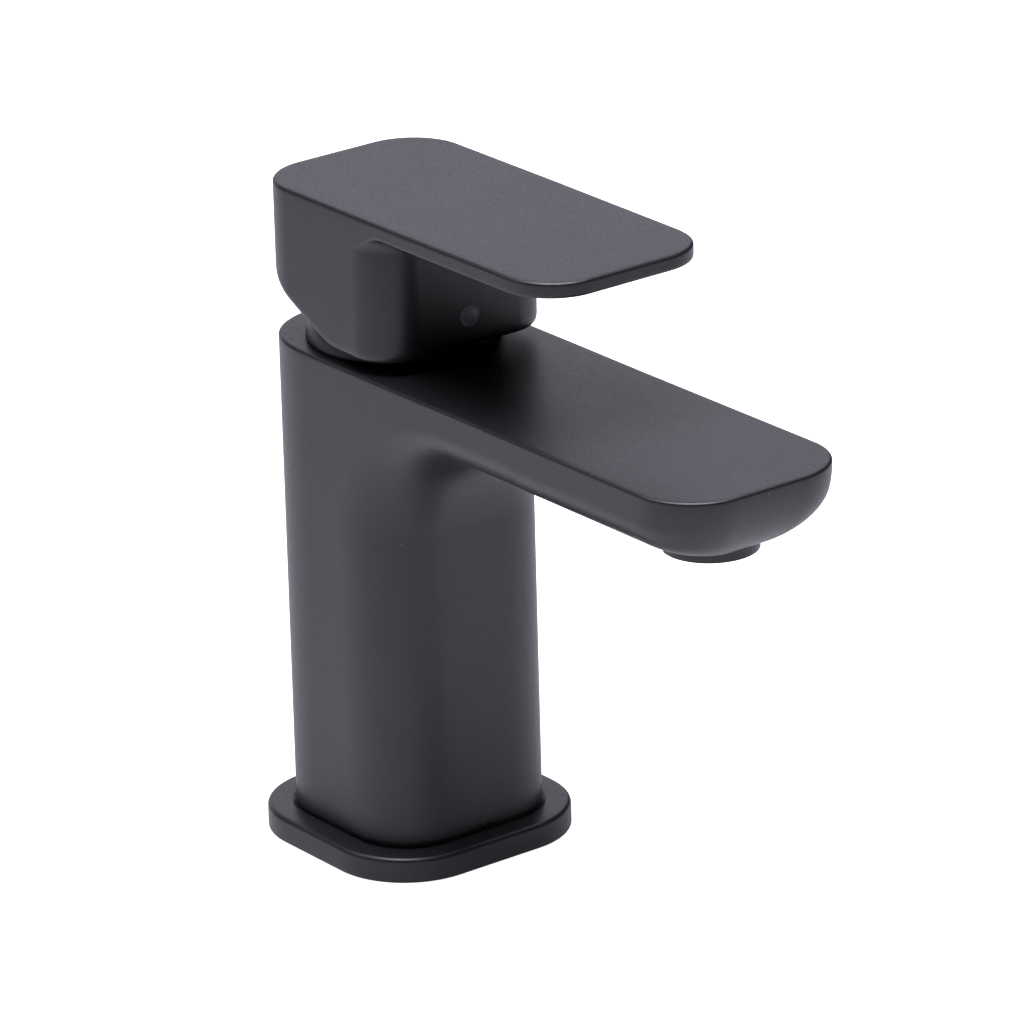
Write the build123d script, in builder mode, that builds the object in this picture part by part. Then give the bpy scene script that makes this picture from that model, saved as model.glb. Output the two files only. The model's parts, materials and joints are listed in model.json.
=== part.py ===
from build123d import *
import os
from math import cos, hypot, radians, sin, tan

# Single-lever basin mixer, in millimetres, +Z up. The origin is on the deck's surface, on the
# column's axis, and the spout and the lever point along -Y.

# ---- outside sizes ----
PLATE_BORDER_X = 5.25         # how far the plate stands out at the column's sides
PLATE_BORDER_Y = 5.0          # and in front and behind
PLATE_CORNER_EXTRA = 3.3      # its plan corner radius, over the column's
PLATE_THICKNESS = 5.3
PLATE_EDGE_ROUND = 1.0
COLUMN_WIDTH = 44.0
COLUMN_DEPTH = 44.0
COLUMN_CORNER = 13.9          # plan corner radius at the foot, and in front all the way up
HEAD_CORNER = 17.8            # rear corners at the top, where the column is rounder
HEAD_REAR_BULGE = 2.6         # how much further back the top reaches than the foot
BODY_TOP = 106.7              # height of the flat top above the deck
SPOUT_REACH = 115.6           # from the axis to the spout's tip
SPOUT_INSET = 0.2             # each side, from the column's side
SPOUT_CORNER = 13.5           # plan corner radius of the tip
SPOUT_SIDE = 5.3              # upright part of the spout's side
BELLY_DEPTH = 10.8            # half-height of the elliptical underside
BELLY_TIP_RUN = 16.0          # the same ellipse along the spout, at the tip
BELLY_FLAT_ANGLE = 68.0       # the underside is flat past this angle of the ellipse
BELLY_STEPS = 4               # ruled steps that the ellipse is laid in
ROOT_BLEND = 10.0             # where the spout's underside runs into the column
TOP_EDGE_ROUND = 0.6
LEVER_RISE = 33.0             # its top above the body's top
LEVER_INSET = 0.4             # each side, from the column's side
LEVER_TIP_NARROWING = 0.5     # each side, from the hub to the lever's tip
LEVER_REACH = 73.9            # from the axis to the lever's tip
LEVER_REAR = 21.3             # from the axis to the lever's rear
LEVER_THICKNESS = 3.2
LEVER_TIP_CORNER = 11.1
LEVER_REAR_CORNER = 12.2
LEVER_EDGE_ROUND = 0.8
HUB_FRONT = 22.0              # from the axis to the hub's front face
HUB_FRONT_CORNER = 9.5
HUB_EDGE_ROUND = 2.0          # round the hub's lower edge
HUB_GAP = 2.8                 # between the body's top and the hub's flat underside
HUB_UNDERCUT = 27.0           # slope of the hub's rear underside, degrees
HUB_UNDERCUT_START = 3.4      # where that slope starts, in front of the axis

# ---- clearances ----
SLIP_GAP = 0.1                # between pieces that are screwed or pushed together
MOVING_GAP = 0.35             # between a moving piece and its neighbours
PIVOT_GAP = 0.05              # close fit: stem on its pin, nut on its stud, screw and covers in their seats
CUT_MARGIN = 1.0              # how far a cut runs past the piece it trims
PICK_MARGIN = 0.5             # tolerance for picking an edge by its place

# ---- cartridge, 35 mm family ----
CHAMBER_WALL = 4.7            # from the cartridge to the column's nearest side
SEAT_DEPTH = 29.7             # where the cartridge stands, below the body's top
FOOT_HEIGHT = 5.0
DISC_HEIGHT = 3.2             # fixed ceramic disc
DISC_MARGIN = 1.33            # between the moving disc at its stops and the housing
MOVING_DISC_HEIGHT = 3.0
MIX_POCKET_DEPTH = 1.6
DRIVER_HEIGHT = 5.0
HOUSING_WALL = 1.8
SHOULDER_DEPTH = 8.7          # where the nut presses on the housing, below the top
SHOULDER_THICKNESS = 2.4
NECK_DEPTH = 3.5              # top of the housing's neck, below the body's top
NECK_WALL = 1.7
LIMIT_RING_HEIGHT = 1.4
GUIDE_RADIUS = 12.0           # swivel guide's sleeve
GUIDE_RISE = 1.3              # its top above the body's top
GUIDE_FLANGE = 1.7
PIVOT_DEPTH = 1.7             # the stem's tilt axis, below the body's top
PIVOT_PIN_RADIUS = 1.5
STEM_SIZE = 8.0               # square section
STEM_FOOT_DROP = 10.0         # where the square section ends, below the tilt axis
STEM_REACH = 28.0             # its top above the tilt axis
STEM_CHAMFER = 0.8
STEM_NECK_RADIUS = 1.6
STEM_BALL_RADIUS = 2.4
STEM_BALL_DROP = 13.6         # centre of the ball, below the tilt axis
LIFT_ANGLE = 25.0             # lever travel, degrees
INLET_OFFSET_X = 7.0
INLET_OFFSET_Y = 5.5          # behind the axis
INLET_RADIUS = 2.7
OUTLET_OFFSET_Y = 7.5         # in front of the axis
OUTLET_RADIUS = 3.6
OUTLET_SLOT_FLOOR = 1.2       # floor of the outlet slot above the seat
OUTLET_SLOT_HEIGHT = 2.4
SEAL_WALL = 1.3               # width of the small seals' rings
SEAL_DEPTH = 1.0              # depth of the pockets they lie in
RING_SEAL_DROP = 6.0          # the housing's O-ring, below the shoulder
RING_SEAL_WIDTH = 1.8
RING_SEAL_DEPTH = 0.9

# ---- nut and cover dome; the dome is part of a sphere about the tilt axis ----
NUT_LEDGE = 1.3               # how far the nut's thread stands out past the cartridge
NUT_THREAD_LENGTH = 6.6
NUT_RISE = 1.3                # its top above the body's top
NUT_SETBACK = 0.925           # its upper part keeps this far inside the middle between neck and dome
DOME_LEDGE = 1.2              # the dome's foot stands this far outside the nut's thread
DOME_WALL = 1.3
DOME_HOLE_MARGIN = 1.5        # the hole at its top, over the guide's radius
DOME_FLANGE_HEIGHT = 1.5

# ---- lever, inside ----
HOLLOW_GAP = 0.55             # between the dome and the hub's round hollow
SCREW_RADIUS = 2.5            # M5
SCREW_LENGTH = 8.0
SCREW_SOCKET_RADIUS = 1.25    # across the corners of its hexagon socket, halved
SCREW_SOCKET_DEPTH = 2.5
SCREW_RISE = 24.2             # above the tilt axis
SCREW_COVER_RADIUS = 3.4
SCREW_COVER_DEPTH = 2.4
MARKER_RADIUS = 2.4           # plain round marker on the hub's front
MARKER_DEPTH = 1.2
MARKER_RISE = 9.5             # its centre above the body's top

# ---- body, inside ----
FOOT_CAVITY_TOP = 38.0        # the column is hollow up to here
CAST_WALL = 4.0
PORT_RADIUS = 4.6             # wall of the M10 x 1 inlet thread
PORT_DEPTH = 12.0
PORT_OFFSET_X = 9.0
PORT_OFFSET_Y = 5.0           # behind the axis
RISER_RADIUS = 3.4            # waterway above the port
RISER_OVERLAP = 6.0
RISER_MARGIN = 11.0           # the riser ends this far below the seat
STUD_RADIUS = 4.0             # M8
STUD_OFFSET_Y = 9.0           # in front of the axis
STUD_GRIP = 13.0              # how far it is screwed into the body
STUD_CHAMFER = 1.6
SPIGOT_WALL = 1.6
SPIGOT_DEPTH = 3.6
CHANNEL_WIDTH = 13.0          # waterway in the spout
CHANNEL_FLOOR_DEPTH = 9.1     # below the body's top
CHANNEL_ROOF_DEPTH = 3.5
CHANNEL_ENTRY_RISE = 11.0     # floor of its mouth in the chamber, above the seat
CHANNEL_ENTRY_HEIGHT = 6.0
CHANNEL_LEVEL_FROM = 34.0     # from the axis to where the channel runs level
GALLERY_DEPTH = 1.8           # groove in the chamber's front wall

# ---- deck seal ----
SEAL_INSET = 4.0              # from the plate's edge
SEAL_BAND = 3.0
SEAL_THICKNESS = 1.8

# ---- aerator ----
AERATOR_SETBACK = 19.1        # its centre behind the spout's tip
AERATOR_RADIUS = 9.6
AERATOR_DEPTH = 17.4          # its lower rim below the body's top
AERATOR_HEIGHT = 5.9
AERATOR_WALL = 1.5
AERATOR_LIP_HEIGHT = 1.6
AERATOR_LIP_WIDTH = 1.2
AERATOR_SEAL_HEIGHT = 1.2
AERATOR_SEAL_BAND = 2.9
KEY_SLOTS = 2                 # for the fitting key, in the lower rim
KEY_SLOT_START = 154.0        # direction of the first one, from +X towards +Y
KEY_SLOT_WIDTH = 1.8
KEY_SLOT_DEPTH = 0.9
JET_PLATE_HEIGHT = 2.0
JET_RADIUS = 0.75
JET_RINGS = ((2.6, 6), (5.2, 12))    # radius and number of the jets in each ring

# ---- deck fixing ----
DECK_THICKNESS = 20.0         # the deck that the clamp is shown on
CLAMP_GASKET_THICKNESS = 2.5
CLAMP_PLATE_THICKNESS = 2.0
CLAMP_RADIUS = 23.0
CLAMP_SLOT_WIDTH = 29.0
CLAMP_SLOT_EDGE = 2.0         # from the axis to the slot's closed end, in front
CLAMP_HOLE_RADIUS = 4.6
CLAMP_NUT_ACROSS = 13.0
CLAMP_NUT_HEIGHT = 12.0
STUD_BELOW_DECK = 58.0

# ---- worked out ----
half_column = COLUMN_WIDTH / 2
half_depth = COLUMN_DEPTH / 2
plate_width = COLUMN_WIDTH + 2 * PLATE_BORDER_X
plate_depth = COLUMN_DEPTH + 2 * PLATE_BORDER_Y
plate_corner = COLUMN_CORNER + PLATE_CORNER_EXTRA
spout_width = COLUMN_WIDTH - 2 * SPOUT_INSET
half_spout = spout_width / 2
head_rear = half_depth + HEAD_REAR_BULGE
belly_top = BODY_TOP - SPOUT_SIDE
belly_bottom = belly_top - BELLY_DEPTH * sin(radians(BELLY_FLAT_ANGLE))
lever_top = BODY_TOP + LEVER_RISE
lever_underside = lever_top - LEVER_THICKNESS
lever_width = COLUMN_WIDTH - 2 * LEVER_INSET
half_lever = lever_width / 2
hub_bottom = BODY_TOP + HUB_GAP
undercut_rear = LEVER_REAR + CUT_MARGIN
undercut_rise = (undercut_rear + HUB_UNDERCUT_START) * tan(radians(HUB_UNDERCUT))
seat_height = BODY_TOP - SEAT_DEPTH
shoulder_height = BODY_TOP - SHOULDER_DEPTH
foot_top = seat_height + FOOT_HEIGHT
disc_top = foot_top + DISC_HEIGHT
moving_disc_top = disc_top + MOVING_DISC_HEIGHT
cartridge_radius = min(half_column, half_depth) - CHAMBER_WALL
housing_bore = cartridge_radius - HOUSING_WALL
chamber_radius = cartridge_radius + SLIP_GAP
neck_bore = GUIDE_RADIUS + MOVING_GAP
neck_radius = neck_bore + NECK_WALL
flange_top = shoulder_height - SHOULDER_THICKNESS - MOVING_GAP
pivot_height = BODY_TOP - PIVOT_DEPTH
stem_ball_height = pivot_height - STEM_BALL_DROP
stem_arm = pivot_height - stem_ball_height
disc_travel = stem_arm * radians(LIFT_ANGLE)
disc_rest_y = disc_travel / 2
slot_half = STEM_SIZE / 2 + MOVING_GAP
driver_socket = 2 * (STEM_BALL_RADIUS + MOVING_GAP)
lift = radians(LIFT_ANGLE)
stem_foot = pivot_height - STEM_FOOT_DROP
stem_swing_front = STEM_SIZE / 2 * cos(lift) + (pivot_height - stem_foot) * sin(lift)
guide_top = BODY_TOP + GUIDE_RISE
stem_swing_rear = STEM_SIZE / 2 / cos(lift) + (guide_top - pivot_height) * tan(lift)
slot_front = stem_swing_front + MOVING_GAP
slot_rear = stem_swing_rear + MOVING_GAP
nut_thread_radius = cartridge_radius + NUT_LEDGE
dome_base_radius = nut_thread_radius + DOME_LEDGE
dome_radius = hypot(dome_base_radius, pivot_height - BODY_TOP)
hollow_radius = dome_radius + HOLLOW_GAP
cavity_width = COLUMN_WIDTH - 2 * CAST_WALL
cavity_depth = COLUMN_DEPTH - 2 * CAST_WALL
cavity_corner = COLUMN_CORNER - CAST_WALL
spigot_width = cavity_width + 2 * SPIGOT_WALL
spigot_depth = cavity_depth + 2 * SPIGOT_WALL
spigot_corner = cavity_corner + SPIGOT_WALL
aerator_bottom = BODY_TOP - AERATOR_DEPTH
aerator_top = aerator_bottom + AERATOR_HEIGHT
aerator_pocket_top = aerator_top + AERATOR_SEAL_HEIGHT
clamp_gasket_bottom = -DECK_THICKNESS - CLAMP_GASKET_THICKNESS
clamp_plate_bottom = clamp_gasket_bottom - CLAMP_PLATE_THICKNESS
moving_disc_radius = housing_bore - disc_travel / 2 - DISC_MARGIN
neck_top = BODY_TOP - NECK_DEPTH
stem_top = pivot_height + STEM_REACH
ring_seal_height = shoulder_height - RING_SEAL_DROP
nut_shoulder = shoulder_height + NUT_THREAD_LENGTH
nut_top = BODY_TOP + NUT_RISE
nut_spigot_radius = (neck_radius + dome_base_radius) / 2 - NUT_SETBACK
dome_hole_radius = GUIDE_RADIUS + DOME_HOLE_MARGIN
screw_height = pivot_height + SCREW_RISE
marker_height = BODY_TOP + MARKER_RISE
riser_top = seat_height - RISER_MARGIN
channel_floor = BODY_TOP - CHANNEL_FLOOR_DEPTH
channel_roof = BODY_TOP - CHANNEL_ROOF_DEPTH
channel_entry = seat_height + CHANNEL_ENTRY_RISE
aerator_offset = SPOUT_REACH - AERATOR_SETBACK
inlets = [(-INLET_OFFSET_X, INLET_OFFSET_Y), (INLET_OFFSET_X, INLET_OFFSET_Y)]
ports = [(-PORT_OFFSET_X, PORT_OFFSET_Y), (PORT_OFFSET_X, PORT_OFFSET_Y)]
outlet = (0, -OUTLET_OFFSET_Y)
aerator_centre = (0, -aerator_offset)
stud_centre = (0, -STUD_OFFSET_Y)


def plan_outline(front, rear, half_front, half_rear, front_corner, rear_corner):
    """Four-sided outline with rounded corners, symmetrical about Y, added to the open sketch."""
    Polygon((-half_front, -front), (half_front, -front), (half_rear, rear), (-half_rear, rear), align=None)
    fillet(vertices().sort_by(Axis.Y)[:2], front_corner)
    if rear_corner > 0:
        fillet(vertices().sort_by(Axis.Y)[-2:], rear_corner)


def spout_outline(angle):
    """The spout's plan where its underside has turned in by an angle of its ellipse."""
    turned_in = 1 - cos(radians(angle))
    half = half_spout * (1 - turned_in)
    tip = SPOUT_REACH - BELLY_TIP_RUN * turned_in
    plan_outline(tip, 0, half, half, SPOUT_CORNER * half / half_spout, 0)


def finish(piece, name):
    """Names a finished piece and writes it to its own file."""
    piece.part.label = name
    export_step(piece.part, f"parts/{name}.step")


os.makedirs("parts", exist_ok=True)

# ---- base plate: an escutcheon with a groove for the deck seal in its underside ----
with BuildPart() as base_plate:
    with BuildSketch():
        RectangleRounded(plate_width, plate_depth, plate_corner)
    extrude(amount=PLATE_THICKNESS)
    fillet(base_plate.edges().group_by(Axis.Z)[-1], PLATE_EDGE_ROUND)
    with BuildSketch():
        RectangleRounded(
            spigot_width + 2 * SLIP_GAP, spigot_depth + 2 * SLIP_GAP, spigot_corner + SLIP_GAP
        )
    extrude(amount=PLATE_THICKNESS, mode=Mode.SUBTRACT)
    with BuildSketch():
        RectangleRounded(
            plate_width - 2 * SEAL_INSET, plate_depth - 2 * SEAL_INSET, plate_corner - SEAL_INSET
        )
        offset(amount=-SEAL_BAND, mode=Mode.SUBTRACT)
    extrude(amount=SEAL_THICKNESS, mode=Mode.SUBTRACT)
finish(base_plate, "base_plate")

with BuildPart() as deck_seal:
    with BuildSketch():
        RectangleRounded(
            plate_width - 2 * SEAL_INSET, plate_depth - 2 * SEAL_INSET, plate_corner - SEAL_INSET
        )
        offset(amount=-SEAL_BAND, mode=Mode.SUBTRACT)
    extrude(amount=SEAL_THICKNESS)
finish(deck_seal, "deck_seal")

# ---- faucet body: column and spout in one casting ----
with BuildPart() as faucet_body:
    with BuildSketch(Plane.XY.offset(PLATE_THICKNESS)):
        plan_outline(half_depth, half_depth, half_column, half_column, COLUMN_CORNER, COLUMN_CORNER)
    with BuildSketch(Plane.XY.offset(BODY_TOP)):
        plan_outline(half_depth, head_rear, half_column, half_column, COLUMN_CORNER, HEAD_CORNER)
    loft()
    with BuildSketch(Plane.XY.offset(belly_top)):
        spout_outline(0)
    extrude(amount=SPOUT_SIDE)
    for step in range(BELLY_STEPS + 1):
        angle = BELLY_FLAT_ANGLE * step / BELLY_STEPS
        with BuildSketch(Plane.XY.offset(belly_top - BELLY_DEPTH * sin(radians(angle)))):
            spout_outline(angle)
    loft()
    root_edges = [
        edge
        for edge in faucet_body.edges().filter_by_position(
            Axis.Z, belly_bottom - PICK_MARGIN, belly_top + PICK_MARGIN
        )
        if edge.center().Y < -PICK_MARGIN and edge.bounding_box().min.Y > -half_depth - PICK_MARGIN
    ]
    fillet(root_edges, ROOT_BLEND)
    fillet(faucet_body.edges().group_by(Axis.Z)[-1], TOP_EDGE_ROUND)
    # locating spigot and the hollow foot
    with BuildSketch(Plane.XY.offset(PLATE_THICKNESS - SPIGOT_DEPTH)):
        RectangleRounded(spigot_width, spigot_depth, spigot_corner)
    extrude(amount=SPIGOT_DEPTH)
    with BuildSketch(Plane.XY.offset(PLATE_THICKNESS - SPIGOT_DEPTH)):
        RectangleRounded(cavity_width, cavity_depth, cavity_corner)
    extrude(amount=FOOT_CAVITY_TOP - PLATE_THICKNESS + SPIGOT_DEPTH, mode=Mode.SUBTRACT)
    # cartridge chamber with the nut's thread above it
    with BuildSketch(Plane.XY.offset(seat_height)):
        Circle(chamber_radius)
    extrude(amount=BODY_TOP - seat_height, mode=Mode.SUBTRACT)
    with BuildSketch(Plane.XY.offset(shoulder_height)):
        Circle(nut_thread_radius + PIVOT_GAP)
    extrude(amount=BODY_TOP - shoulder_height, mode=Mode.SUBTRACT)
    # gallery in the chamber's front wall, from the cartridge's foot up to the spout's waterway
    with BuildSketch(Plane.XY.offset(seat_height)):
        with Locations((0, -chamber_radius - GALLERY_DEPTH)):
            Rectangle(CHANNEL_WIDTH, chamber_radius, align=(Align.CENTER, Align.MIN))
    extrude(amount=channel_entry + CHANNEL_ENTRY_HEIGHT - seat_height, mode=Mode.SUBTRACT)
    with BuildSketch(Plane.YZ):
        Polygon(
            (-chamber_radius + GALLERY_DEPTH, channel_entry),
            (-chamber_radius - GALLERY_DEPTH, channel_entry),
            (-CHANNEL_LEVEL_FROM, channel_floor),
            (-aerator_offset - CHANNEL_WIDTH / 2, channel_floor),
            (-aerator_offset - CHANNEL_WIDTH / 2, channel_roof),
            (-CHANNEL_LEVEL_FROM, channel_roof),
            (-chamber_radius - GALLERY_DEPTH, channel_entry + CHANNEL_ENTRY_HEIGHT),
            (-chamber_radius + GALLERY_DEPTH, channel_entry + CHANNEL_ENTRY_HEIGHT),
            align=None,
        )
    extrude(amount=CHANNEL_WIDTH / 2, both=True, mode=Mode.SUBTRACT)
    # pocket for the aerator, and the hole from the waterway down into it
    with BuildSketch(Plane.XY.offset(belly_bottom)):
        with Locations(aerator_centre):
            Circle(AERATOR_RADIUS + SLIP_GAP)
    extrude(amount=aerator_pocket_top - belly_bottom, mode=Mode.SUBTRACT)
    with BuildSketch(Plane.XY.offset(belly_bottom)):
        with Locations(aerator_centre):
            Circle(AERATOR_RADIUS - AERATOR_SEAL_BAND)
    extrude(amount=channel_floor - belly_bottom, mode=Mode.SUBTRACT)
    # inlet ports, the risers above them, and the cartridge's inlets
    with BuildSketch(Plane.XY.offset(FOOT_CAVITY_TOP)):
        with Locations(ports):
            Circle(PORT_RADIUS)
    extrude(amount=PORT_DEPTH, mode=Mode.SUBTRACT)
    with BuildSketch(Plane.XY.offset(FOOT_CAVITY_TOP)):
        with Locations(ports):
            Circle(RISER_RADIUS)
    extrude(amount=riser_top - FOOT_CAVITY_TOP, mode=Mode.SUBTRACT)
    with BuildSketch(Plane.XY.offset(riser_top - RISER_OVERLAP)):
        with Locations(inlets):
            Circle(INLET_RADIUS)
    extrude(amount=seat_height - riser_top + RISER_OVERLAP, mode=Mode.SUBTRACT)
    # threaded hole of the mounting stud
    with BuildSketch(Plane.XY.offset(FOOT_CAVITY_TOP)):
        with Locations(stud_centre):
            Circle(STUD_RADIUS + PIVOT_GAP)
    extrude(amount=STUD_GRIP, mode=Mode.SUBTRACT)
finish(faucet_body, "faucet_body")

# ---- cartridge foot: two inlets from below, and the outlet as a slot to the front ----
with BuildPart() as cartridge_base:
    with BuildSketch(Plane.XY.offset(seat_height)):
        Circle(cartridge_radius)
        with Locations(inlets):
            Circle(INLET_RADIUS, mode=Mode.SUBTRACT)
    extrude(amount=FOOT_HEIGHT)
    with BuildSketch(Plane.XY.offset(seat_height + OUTLET_SLOT_FLOOR)):
        with Locations(outlet):
            Circle(OUTLET_RADIUS)
    extrude(amount=FOOT_HEIGHT, mode=Mode.SUBTRACT)
    with BuildSketch(Plane.XY.offset(seat_height + OUTLET_SLOT_FLOOR)):
        with Locations(outlet):
            Rectangle(2 * OUTLET_RADIUS, cartridge_radius, align=(Align.CENTER, Align.MAX))
    extrude(amount=OUTLET_SLOT_HEIGHT, mode=Mode.SUBTRACT)
    with BuildSketch(Plane.XY.offset(seat_height)):
        with Locations(inlets):
            Circle(INLET_RADIUS + SEAL_WALL)
    extrude(amount=SEAL_DEPTH, mode=Mode.SUBTRACT)
    with BuildSketch(Plane.XY.offset(foot_top - SEAL_DEPTH)):
        with Locations(inlets):
            Circle(INLET_RADIUS + SEAL_WALL)
        with Locations(outlet):
            Circle(OUTLET_RADIUS + SEAL_WALL)
    extrude(amount=SEAL_DEPTH, mode=Mode.SUBTRACT)
finish(cartridge_base, "cartridge_base")

with BuildPart() as base_seals:
    with BuildSketch(Plane.XY.offset(seat_height)):
        with Locations(inlets):
            Circle(INLET_RADIUS + SEAL_WALL)
            Circle(INLET_RADIUS, mode=Mode.SUBTRACT)
    extrude(amount=SEAL_DEPTH)
finish(base_seals, "base_seals")

with BuildPart() as disc_seals:
    with BuildSketch(Plane.XY.offset(foot_top - SEAL_DEPTH)):
        with Locations(inlets):
            Circle(INLET_RADIUS + SEAL_WALL)
            Circle(INLET_RADIUS, mode=Mode.SUBTRACT)
        with Locations(outlet):
            Circle(OUTLET_RADIUS + SEAL_WALL)
            Circle(OUTLET_RADIUS, mode=Mode.SUBTRACT)
    extrude(amount=SEAL_DEPTH)
finish(disc_seals, "disc_seals")

# ---- ceramic discs: three openings below, and a mixing pocket that slides and turns over them ----
with BuildPart() as fixed_disc:
    with BuildSketch(Plane.XY.offset(foot_top)):
        Circle(housing_bore - SLIP_GAP)
        with Locations(inlets):
            Circle(INLET_RADIUS, mode=Mode.SUBTRACT)
        with Locations(outlet):
            Circle(OUTLET_RADIUS, mode=Mode.SUBTRACT)
    extrude(amount=DISC_HEIGHT)
finish(fixed_disc, "fixed_disc")

with BuildPart() as moving_disc:
    with BuildSketch(Plane.XY.offset(disc_top)):
        with Locations((0, disc_rest_y)):
            Circle(moving_disc_radius)
    extrude(amount=MOVING_DISC_HEIGHT)
    with BuildSketch(Plane.XY.offset(disc_top)):
        with Locations((0, disc_rest_y - OUTLET_RADIUS)):
            SlotOverall(2 * (INLET_OFFSET_X + INLET_RADIUS), 2 * OUTLET_RADIUS)
    extrude(amount=MIX_POCKET_DEPTH, mode=Mode.SUBTRACT)
finish(moving_disc, "moving_disc")

with BuildPart() as disc_driver:
    with BuildSketch(Plane.XY.offset(moving_disc_top)):
        with Locations((0, disc_rest_y)):
            Circle(moving_disc_radius)
        Rectangle(driver_socket, driver_socket, mode=Mode.SUBTRACT)
    extrude(amount=DRIVER_HEIGHT)
finish(disc_driver, "disc_driver")

# ---- cartridge housing: shell, shoulder for the nut, and the neck the guide turns in ----
with BuildPart() as cartridge_housing:
    with BuildSketch(Plane.XY.offset(foot_top)):
        Circle(cartridge_radius)
    extrude(amount=shoulder_height - foot_top)
    with BuildSketch(Plane.XY.offset(shoulder_height)):
        Circle(neck_radius)
    extrude(amount=neck_top - shoulder_height)
    with BuildSketch(Plane.XY.offset(foot_top)):
        Circle(housing_bore)
    extrude(amount=shoulder_height - SHOULDER_THICKNESS - foot_top, mode=Mode.SUBTRACT)
    with BuildSketch(Plane.XY.offset(foot_top)):
        Circle(neck_bore)
    extrude(amount=neck_top - foot_top, mode=Mode.SUBTRACT)
    with BuildSketch(Plane.XY.offset(ring_seal_height)):
        Circle(cartridge_radius)
        Circle(cartridge_radius - RING_SEAL_DEPTH, mode=Mode.SUBTRACT)
    extrude(amount=RING_SEAL_WIDTH, mode=Mode.SUBTRACT)
finish(cartridge_housing, "cartridge_housing")

with BuildPart() as housing_ring_seal:
    with BuildSketch(Plane.XY.offset(ring_seal_height)):
        Circle(chamber_radius)
        Circle(cartridge_radius - RING_SEAL_DEPTH, mode=Mode.SUBTRACT)
    extrude(amount=RING_SEAL_WIDTH)
finish(housing_ring_seal, "housing_ring_seal")

with BuildPart() as hot_limit_ring:
    with BuildSketch(Plane.XY.offset(neck_top)):
        Circle(neck_radius)
        Circle(neck_bore, mode=Mode.SUBTRACT)
    extrude(amount=LIMIT_RING_HEIGHT)
finish(hot_limit_ring, "hot_limit_ring")

# ---- swivel guide: flange and sleeve, slotted for the stem, drilled for its pin ----
with BuildPart() as swivel_guide:
    with BuildSketch(Plane.XY.offset(flange_top - GUIDE_FLANGE)):
        Circle(housing_bore - MOVING_GAP)
    extrude(amount=GUIDE_FLANGE)
    with BuildSketch(Plane.XY.offset(flange_top)):
        Circle(GUIDE_RADIUS)
    extrude(amount=guide_top - flange_top)
    with BuildSketch(Plane.XY.offset(flange_top - GUIDE_FLANGE)):
        with Locations((0, -slot_front)):
            Rectangle(2 * slot_half, slot_front + slot_rear, align=(Align.CENTER, Align.MIN))
    extrude(amount=guide_top - flange_top + GUIDE_FLANGE, mode=Mode.SUBTRACT)
    with BuildSketch(Plane.YZ):
        with Locations((0, pivot_height)):
            Circle(PIVOT_PIN_RADIUS)
    extrude(amount=GUIDE_RADIUS, both=True, mode=Mode.SUBTRACT)
finish(swivel_guide, "swivel_guide")

with BuildPart() as pivot_pin:
    with BuildSketch(Plane.YZ):
        with Locations((0, pivot_height)):
            Circle(PIVOT_PIN_RADIUS)
    extrude(amount=GUIDE_RADIUS - SLIP_GAP - MOVING_GAP, both=True)
finish(pivot_pin, "pivot_pin")

# ---- stem: square shank on the pin, with a ball below that carries the disc driver along ----
with BuildPart() as stem:
    with BuildSketch(Plane.XY.offset(stem_foot)):
        Rectangle(STEM_SIZE, STEM_SIZE)
    extrude(amount=stem_top - stem_foot)
    chamfer(stem.edges().group_by(Axis.Z)[-1], STEM_CHAMFER)
    with BuildSketch(Plane.XY.offset(stem_ball_height)):
        Circle(STEM_NECK_RADIUS)
    extrude(amount=stem_foot - stem_ball_height)
    with Locations((0, 0, stem_ball_height)):
        Sphere(STEM_BALL_RADIUS)
    with BuildSketch(Plane.YZ):
        with Locations((0, pivot_height)):
            Circle(PIVOT_PIN_RADIUS + PIVOT_GAP)
    extrude(amount=STEM_SIZE, both=True, mode=Mode.SUBTRACT)
finish(stem, "stem")

# ---- nut and cover dome ----
with BuildPart() as cartridge_nut:
    with BuildSketch(Plane.XY.offset(shoulder_height)):
        Circle(nut_thread_radius)
    extrude(amount=nut_shoulder - shoulder_height)
    with BuildSketch(Plane.XY.offset(nut_shoulder)):
        Circle(nut_spigot_radius)
    extrude(amount=nut_top - nut_shoulder)
    with BuildSketch(Plane.XY.offset(shoulder_height)):
        Circle(neck_radius + SLIP_GAP)
    extrude(amount=nut_top - shoulder_height, mode=Mode.SUBTRACT)
finish(cartridge_nut, "cartridge_nut")

with BuildPart() as cover_dome:
    with BuildSketch(Plane.XZ):
        with Locations((0, pivot_height)):
            Circle(dome_radius)
            Circle(dome_radius - DOME_WALL, mode=Mode.SUBTRACT)
        with Locations((dome_hole_radius, BODY_TOP)):
            Rectangle(dome_radius, 2 * dome_radius, align=(Align.MIN, Align.MIN), mode=Mode.INTERSECT)
        with Locations((nut_spigot_radius + SLIP_GAP, BODY_TOP)):
            Rectangle(
                dome_base_radius - DOME_WALL / 2 - nut_spigot_radius - SLIP_GAP,
                DOME_FLANGE_HEIGHT,
                align=(Align.MIN, Align.MIN),
            )
    revolve(axis=Axis.Z)
finish(cover_dome, "cover_dome")

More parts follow.
